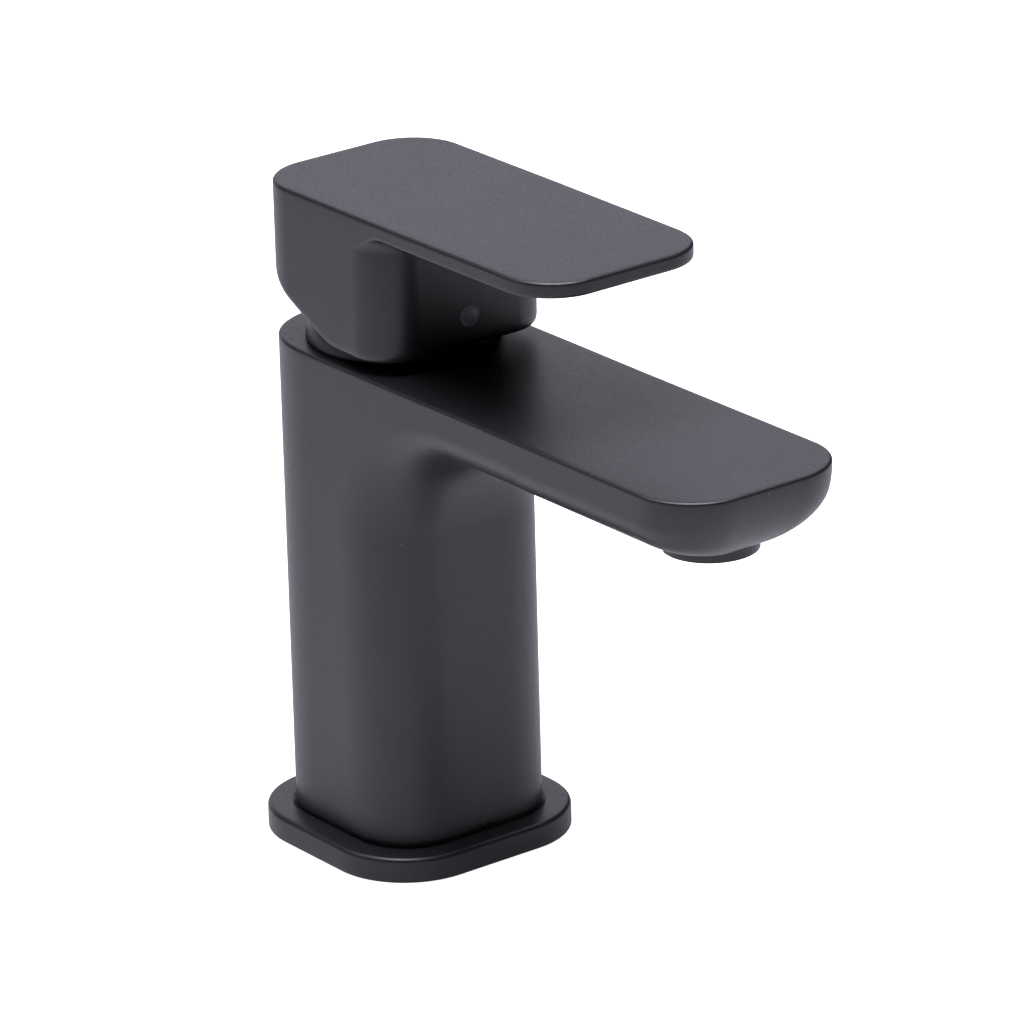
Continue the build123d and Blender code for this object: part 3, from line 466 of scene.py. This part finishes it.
def lever_outlines():
    """Right half of the plate's outline, the hub point paired with each, and the hub's outward normal."""
    n_tip, n_arc, n_side, n_back = 12, 30, 70, 16
    tip_narrowing, tip_corner, rear_corner = 0.5 * MM, 11.1 * MM, 12.2 * MM
    tip_half = half_lever - tip_narrowing
    corner_at = np.array([half_lever - hub_corner, -hub_front + hub_corner])
    tip = half_outline(lever_reach, 0, tip_half, tip_half, tip_corner, 1e-6,
                       (n_tip, n_arc, 1, 1, 1))[:n_tip + n_arc]
    ray_end = np.arctan((lever_reach - tip_corner + corner_at[1]) / hub_corner)
    ray = np.linspace(ray_end, 0, n_side + 1)
    side_y = corner_at[1] - hub_corner * np.tan(ray)
    narrow = tip_narrowing * np.clip((-side_y - hub_front) / (lever_reach - hub_front), 0, 1)
    side = np.stack([half_lever - narrow, side_y], -1)
    rear = half_outline(-corner_at[1], lever_rear, half_lever, half_lever, 1e-6, rear_corner,
                        (1, 1, n_back, 26, 10))[3:]
    plate = np.concatenate([tip, side, rear])
    n_front = len(tip) + len(side)
    away = plate[:n_front] - corner_at
    turn = np.arctan2(-away[:, 1], np.maximum(away[:, 0], 0))
    straight = away[:, 0] <= 0
    hub = plate.copy()
    hub[:n_front] = np.where(straight[:, None], np.stack([plate[:n_front, 0], 0 * turn - hub_front], -1),
                             corner_at + hub_corner * np.stack([np.cos(turn), -np.sin(turn)], -1))
    along = np.gradient(plate, axis=0)
    normal = np.stack([along[:, 1], -along[:, 0]], -1) / np.hypot(*along.T)[:, None]
    normal[0], normal[-1] = (0, -1), (0, 1)
    hub_normal = normal.copy()
    hub_normal[:n_front] = np.where(straight[:, None], [[0, -1]], np.stack([np.cos(turn), -np.sin(turn)], -1))
    return plate, normal, hub, hub_normal


def bent(start, corner, end, t):
    """Parabola from start to end that heads for a corner: weights (1-t) squared, 2t(1-t), t squared."""
    return (1 - t) ** 2 * start + 2 * t * (1 - t) * corner + t * t * end


def lever_skin():
    """Rows from the flat top round every edge to the roof of the hollow; columns round the outline."""
    plate, normal, hub, hub_normal = lever_outlines()
    n = len(plate)
    gap = np.hypot(*(plate - hub).T)
    out = np.minimum(gap, hollow_radius)
    turn_end = np.arccos(np.clip(1 - out / hollow_radius, 0, 1))
    arc_length = hollow_radius * turn_end
    run_length = np.maximum(gap - hollow_radius, 0)
    arc_top = plate_under - hollow_radius + hollow_radius * np.sin(turn_end)
    spare = 3.5 * MM * (1 - smooth_step(gap / (8 * MM)))

    slow = 0.25

    def inner(q):
        """Point at warped length q from the plate's lower edge: underside, hollow curve, spare wall."""
        along_run = np.clip(q / slow, 0, run_length)
        q = q - slow * along_run
        along_arc = np.clip(q, 0, arc_length)
        below = np.maximum(q - along_arc, 0)
        turn = (arc_length - along_arc) / hollow_radius
        foot = hub + hub_normal * (hollow_radius * (1 - np.cos(turn)))[:, None]
        share = np.where(run_length > 0, along_run / np.maximum(run_length, 1e-9), 1)[:, None]
        end = hub + hub_normal * out[:, None]
        flat = plate * (1 - share) + end * share
        on_run = (along_run < run_length - 1e-9)[:, None]
        curve_z = plate_under - hollow_radius + hollow_radius * np.sin(turn) - below
        z = np.where(on_run[:, 0], plate_under, curve_z)
        return np.concatenate([np.where(on_run, flat, foot), z[:, None]], 1)

    warped = slow * run_length + arc_length + spare
    edge = 0.3 * MM + 0.5 * MM * smooth_step(gap / (2.5 * MM))
    corner = np.concatenate([plate, arc_top[:, None]], 1)
    begin = edge * np.where(run_length > edge, slow, 1)
    a = inner(begin)
    b = corner + np.stack([0 * edge, 0 * edge, edge], -1)
    top_edge = 0.7 * MM
    turn = np.radians(np.linspace(90, 0, 8))
    rows = [level(plate - normal * d, lever_top) for d in (5 * MM, 2 * MM)]
    rows += [level(plate - normal * top_edge * (1 - np.cos(t)), lever_top - top_edge * (1 - np.sin(t)))
             for t in turn]
    rim = level(plate, lever_top - top_edge)
    rows += [rim + (b - rim) * t for t in np.linspace(0, 1, 7)[1:]]
    rows += [bent(b, corner, a, t) for t in np.linspace(0, 1, 8)[1:-1]]
    rows += [inner(begin + (warped - begin) * t) for t in np.linspace(0, 1, 40)]
    wall_top = rows[-1]
    floor = hub_floor(hub[:, 1])
    round_low = 2.2 * MM
    wall_end = level(hub, floor + round_low)
    rows += [wall_top + (wall_end - wall_top) * t for t in np.linspace(0, 1, 26)[1:]]
    sharp = level(hub, floor)
    inset = hub - hub_normal * 1.3 * MM
    under = level(inset, hub_floor(inset[:, 1]))
    rows += [bent(wall_end, sharp, under, t) for t in np.linspace(0, 1, 10)[1:]]
    heading = hub / np.hypot(*hub.T)[:, None]
    radius = np.full(n, 17 * MM)
    for _ in range(40):
        rim_z = hub_floor(radius * heading[:, 1])
        level_radius = np.sqrt(np.maximum(dome_hollow ** 2 - (rim_z - pivot_height) ** 2, 1e-9))
        radius = 0.5 * radius + 0.5 * level_radius
    mouth = level(heading * radius[:, None], hub_floor(radius * heading[:, 1]))
    rows += [under + (mouth - under) * t for t in (0.5, 0.97, 1.0)]
    tilt = np.arctan2(radius, mouth[:, 2] - pivot_height)
    for t in np.linspace(0, 1, 14)[1:]:
        now = tilt * (1 - t) + np.radians(8) * t
        rows.append(level(heading * (dome_hollow * np.sin(now))[:, None],
                          pivot_height + dome_hollow * np.cos(now)))
    return closed_skin("lever_skin", mirrored(np.array(rows)))


lever_piece = lever_skin()
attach(lever_piece, "lever")
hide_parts("lever_handle")

# %% [markdown]
# ## Turned pieces
# The dome under the lever, the marker on the hub's front and the plug over the grub screw are all
# turned shapes: a profile of radius and height carried round an axis.

# %% turned skin
def turned_skin(name, profile, centre, axis, n=128, ring=False):
    """Points (radius, height) carried round an axis; a ring closes on itself, a disc gets flat ends."""
    axis = np.array(axis, float)
    side = np.cross(axis, [0, 0, 1]) if abs(axis[2]) < 0.5 else np.array([1.0, 0, 0])
    other = np.cross(axis, side)
    turn = np.linspace(0, 2 * np.pi, n, endpoint=False)
    spoke = np.cos(turn)[:, None] * side + np.sin(turn)[:, None] * other
    profile = np.array(profile, float) * MM
    grid = np.array(centre) * MM + profile[:, None, :1] * spoke[None] + profile[:, None, 1:] * axis
    if ring:
        grid = np.concatenate([grid, grid[:1]])
        rows = len(profile)
        faces = grid_faces(rows + 1, n, True) % (rows * n)
        return outward(add_mesh(name, grid[:-1].reshape(-1, 3), faces.tolist()))
    return closed_skin(name, grid)


def dome_profile():
    """Outer sphere from the foot up to the hole, a small round at the hole, then the inner wall back."""
    outer, wall, hole, foot, base_radius = 19.873, 1.3, 13.5, 1.7, 19.8
    centre, foot_z = pivot_height / MM, pivot_height / MM + foot
    base = np.arctan2(base_radius, foot)
    tilt = np.linspace(base, np.arcsin(hole / outer) + 0.02, 40)
    outside = np.stack([outer * np.sin(tilt), centre + outer * np.cos(tilt)], -1)
    tilt = np.linspace(np.arcsin(hole / outer) + 0.02, base - 0.01, 24)
    inside = np.stack([(outer - wall) * np.sin(tilt), centre + (outer - wall) * np.cos(tilt)], -1)
    lip = (outside[-1] + inside[0]) / 2 + np.array([-0.45, 0.1])
    first, last = [[outside[0, 0] - 0.25, foot_z]], [[inside[-1, 0], foot_z]]
    return np.concatenate([first, outside[1:], lip[None], inside, last])


dome = turned_skin("cover_dome_skin", dome_profile(), (0, 0, 0), (0, 0, 1), ring=True)
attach(dome, "faucet")
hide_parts("cover_dome")

marker_face = [(0.05, 0.22), (1.0, 0.2), (1.55, 0.14), (1.75, 0.06), (1.85, 0.05), (1.95, 0.12), (2.2, 0.1),
               (2.36, 0.02), (2.4, -0.12), (2.4, -1.0)]
marker = turned_skin("marker_skin", marker_face, (0, -22.0, 116.2), (0, -1, 0), n=64)
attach(marker, "lever")
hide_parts("marker_dot")

cover_face = [(0.05, 0.05), (0.6, 0.05), (2.6, 0.08), (3.1, 0.06), (3.3, 0.0), (3.4, -0.15), (3.4, -2.0)]
screw_plug = turned_skin("screw_cover_skin", cover_face, (0, lever_rear / MM, 129.2), (0, 1, 0), n=64)
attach(screw_plug, "lever")
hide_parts("screw_cover")

# %% [markdown]
# ## Finishes
# The powder coat is not one flat black. It has a fine grain, a roughness that wanders a little from
# place to place, a slightly lighter cast in broad soft patches, and here and there a fleck of dust.
# All of it comes from noise on Object coordinates, so it stays put at every angle and every pose.

# %% material helper
def new_material(name):
    """An empty node material with its output and a Principled shader joined to it."""
    material = bpy.data.materials.new(name)
    material.use_nodes = True
    nodes, links = material.node_tree.nodes, material.node_tree.links
    nodes.clear()
    shader = nodes.new("ShaderNodeBsdfPrincipled")
    output = nodes.new("ShaderNodeOutputMaterial")
    links.new(shader.outputs["BSDF"], output.inputs["Surface"])
    return material, nodes, links, shader


def grain(nodes, links, coordinates, scale, detail=3.0):
    """Noise at a scale in waves per metre."""
    noise = nodes.new("ShaderNodeTexNoise")
    noise.inputs["Scale"].default_value = scale
    noise.inputs["Detail"].default_value = detail
    links.new(coordinates.outputs["Object"], noise.inputs["Vector"])
    return noise


def ramp(nodes, links, source, stops):
    """A colour ramp fed by a socket; stops are (place, grey or colour)."""
    node = nodes.new("ShaderNodeValToRGB")
    links.new(source, node.inputs["Fac"])
    band = node.color_ramp
    while len(band.elements) < len(stops):
        band.elements.new(0.5)
    for element, (place, shade) in zip(band.elements, stops):
        element.position = place
        element.color = (*shade, 1) if isinstance(shade, tuple) else (shade, shade, shade, 1)
    return node


def finish(name, dark, light, rough, metal=0.0, fine=1800.0, depth=0.00001, flecks=0.0, specular=0.5):
    """One procedural finish: colour wanders from dark to light, roughness between the two values of rough."""
    material, nodes, links, shader = new_material(name)
    coordinates = nodes.new("ShaderNodeTexCoord")
    broad = grain(nodes, links, coordinates, 45.0)
    tint = ramp(nodes, links, broad.outputs["Fac"], [(0.35, dark), (0.7, light)])
    colour = tint.outputs["Color"]
    small = grain(nodes, links, coordinates, fine, 2.0)
    if flecks:
        dust = nodes.new("ShaderNodeTexVoronoi")
        dust.inputs["Scale"].default_value = 130.0
        links.new(coordinates.outputs["Object"], dust.inputs["Vector"])
        size = ramp(nodes, links, dust.outputs["Distance"], [(0.0, 1.0), (0.02, 1.0), (0.035, 0.0)])
        rare = nodes.new("ShaderNodeMath")
        rare.operation = "GREATER_THAN"
        split = nodes.new("ShaderNodeSeparateColor")
        links.new(dust.outputs["Color"], split.inputs["Color"])
        links.new(split.outputs["Red"], rare.inputs[0])
        rare.inputs[1].default_value = 0.82
        both = nodes.new("ShaderNodeMath")
        both.operation = "MULTIPLY"
        links.new(size.outputs["Color"], both.inputs[0])
        links.new(rare.outputs["Value"], both.inputs[1])
        mix = nodes.new("ShaderNodeMix")
        mix.data_type = "RGBA"
        links.new(both.outputs["Value"], mix.inputs["Factor"])
        links.new(colour, mix.inputs["A"])
        mix.inputs["B"].default_value = (flecks, flecks, flecks, 1)
        colour = mix.outputs["Result"]
    links.new(colour, shader.inputs["Base Color"])
    wander = ramp(nodes, links, small.outputs["Fac"], [(0.3, rough[0]), (0.7, rough[1])])
    links.new(wander.outputs["Color"], shader.inputs["Roughness"])
    bump = nodes.new("ShaderNodeBump")
    bump.inputs["Strength"].default_value = 0.35
    bump.inputs["Distance"].default_value = depth
    links.new(small.outputs["Fac"], bump.inputs["Height"])
    links.new(bump.outputs["Normal"], shader.inputs["Normal"])
    shader.inputs["Metallic"].default_value = metal
    shader.inputs["Specular IOR Level"].default_value = specular
    return material


# %% the finishes
finishes = {
    "black_coat": finish("black_powder_coat", (0.012, 0.012, 0.014), (0.016, 0.016, 0.018), (0.34, 0.46),
                         fine=2200.0, depth=0.00002, flecks=0.09, specular=0.6),
    "black_rubber": finish("black_rubber", (0.012, 0.012, 0.012), (0.02, 0.02, 0.02), (0.65, 0.8)),
    "grey_plastic": finish("grey_marker", (0.19, 0.19, 0.205), (0.24, 0.24, 0.255), (0.3, 0.4), fine=1500.0),
    "dark_plastic": finish("dark_plastic", (0.02, 0.02, 0.022), (0.03, 0.03, 0.032), (0.35, 0.45),
                           fine=1500.0),
    "white_plastic": finish("acetal", (0.70, 0.70, 0.67), (0.78, 0.78, 0.75), (0.3, 0.42)),
    "red_plastic": finish("red_ring", (0.45, 0.03, 0.025), (0.55, 0.05, 0.04), (0.28, 0.38)),
    "disc_ceramic": finish("lapped_ceramic", (0.82, 0.81, 0.76), (0.88, 0.87, 0.83), (0.06, 0.12)),
    "steel": finish("zinc_plated_steel", (0.48, 0.48, 0.5), (0.62, 0.62, 0.6), (0.22, 0.38),
                    metal=1.0, fine=900.0),
    "brass": finish("machined_brass", (0.55, 0.38, 0.16), (0.68, 0.50, 0.24), (0.2, 0.34),
                    metal=1.0, fine=900.0),
}
for part in frame["record"]["subparts"]:
    for socket in frame["nodes"][part["node"]].material_slots:
        socket.material = finishes[part["material_slot"]]
for piece, coat in ((base_plate_skin, "black_coat"), (faucet_skin, "black_coat"), (lever_piece, "black_coat"),
                    (dome, "black_coat"), (marker, "grey_plastic"), (screw_plug, "dark_plastic")):
    piece.data.materials.append(finishes[coat])

# %% [markdown]
# ## Floor, light and camera
# The studio is a white table with a white wall, and a dark room on the camera's side. The table, the
# ceiling and the wide soft boxes light the flat tops and the edges, while the faces that look at the
# camera mirror the dark room. The camera itself sees the table and the wall as plain white.

# %% seen by the camera as plain white
def white_to_camera(nodes, links, strength, target):
    """Sets a strength socket to 1 for what the camera sees itself, and to strength for everything else."""
    path = nodes.new("ShaderNodeLightPath")
    blend = nodes.new("ShaderNodeMapRange")
    blend.inputs["To Min"].default_value = strength
    blend.inputs["To Max"].default_value = 1.0
    links.new(path.outputs["Is Camera Ray"], blend.inputs["Value"])
    links.new(blend.outputs["Result"], target)


table_glow, room_glow = 0.0, 0.0
print("to everything but the camera the table glows", table_glow, "and the room", room_glow)

# %% floor
floor_half, floor_z = 9, -1e-4
floor_corners = [[x * floor_half, y * floor_half, floor_z] for x, y in ((-1, -1), (1, -1), (1, 1), (-1, 1))]
floor = add_mesh("studio_floor", floor_corners, [[0, 1, 2, 3]])
white, floor_nodes, floor_links, floor_shader = new_material("studio_white")
floor_shader.inputs["Base Color"].default_value = (0.8, 0.8, 0.8, 1)
floor_shader.inputs["Roughness"].default_value = 1.0
floor_shader.inputs["Specular IOR Level"].default_value = 0.0
floor_shader.inputs["Emission Color"].default_value = (1, 1, 1, 1)
white_to_camera(floor_nodes, floor_links, table_glow, floor_shader.inputs["Emission Strength"])
floor.data.materials.append(white)

# %% the room
world = bpy.data.worlds.new("studio_room")
world.use_nodes = True
background = world.node_tree.nodes["Background"]
background.inputs["Color"].default_value = (1, 1, 1, 1)
white_to_camera(world.node_tree.nodes, world.node_tree.links, room_glow, background.inputs["Strength"])
bpy.context.scene.world = world
bpy.context.scene.view_settings.view_transform = "Standard"

# %% direction and place
def towards(around, climb):
    """Direction of a place seen from the piece: turned around +Z from -Y, and climbing from level."""
    return np.array([np.sin(around) * np.cos(climb), -np.cos(around) * np.cos(climb), np.sin(climb)])


def placed(right, up, back, place):
    """Matrix of a lamp or camera from its three axes and its place."""
    axes = np.stack([right, up, back], 1)
    return Matrix([[*row, p] for row, p in zip(axes, place)] + [[0, 0, 0, 1]])


# %% soft boxes
azimuth, elevation, roll = np.radians([-37.225, 21.073, 1.559])


box_distance, box_aim, box_colour = 1.1, [0, -0.03, 0.08], (0.95, 0.93, 1.06)


def soft_box(name, turn, climb, size, power):
    """A square light 1.1 m from the piece, at turn degrees round from the camera and climb degrees up."""
    around = azimuth - np.radians(turn)
    back = towards(around, np.radians(climb))
    place = back * box_distance + box_aim
    right = np.array([np.cos(around), np.sin(around), 0])
    lamp = bpy.data.lights.new(name, "AREA")
    lamp.size, lamp.energy = size, power
    lamp.color = box_colour
    light = bpy.data.objects.new(name, lamp)
    light.matrix_world = placed(right, np.cross(back, right), back, place)
    bpy.context.scene.collection.objects.link(light)


boxes = (("overhead", 0, 88, 0.8, 21.1), ("rear_high", 180, 45, 0.6, 0.55), ("rear_low", 180, 15, 0.6, 1.1),
         ("rear_left", 150, 10, 0.6, 0.87), ("left_high", 90, 45, 0.6, 1.42))
for box in boxes:
    soft_box(*box)
print(len(boxes), "soft boxes")

# %% camera
camera_distance, aim_right, aim_up = 1.5024, 0.018882, 0.06382
back = towards(azimuth, elevation)
right = np.array([np.cos(azimuth), np.sin(azimuth), 0])
up = np.cross(back, right)
right, up = np.cos(roll) * right - np.sin(roll) * up, np.sin(roll) * right + np.cos(roll) * up
place = aim_right * right + aim_up * up + camera_distance * back
lens = bpy.data.cameras.new("studio_camera")
lens.lens, lens.sensor_width, lens.clip_start = 257.2, 36.0, 0.05
camera = bpy.data.objects.new("studio_camera", lens)
camera.matrix_world = placed(right, up, back, place)
bpy.context.scene.collection.objects.link(camera)
bpy.context.scene.camera = camera
print("camera at", np.round(place, 3))
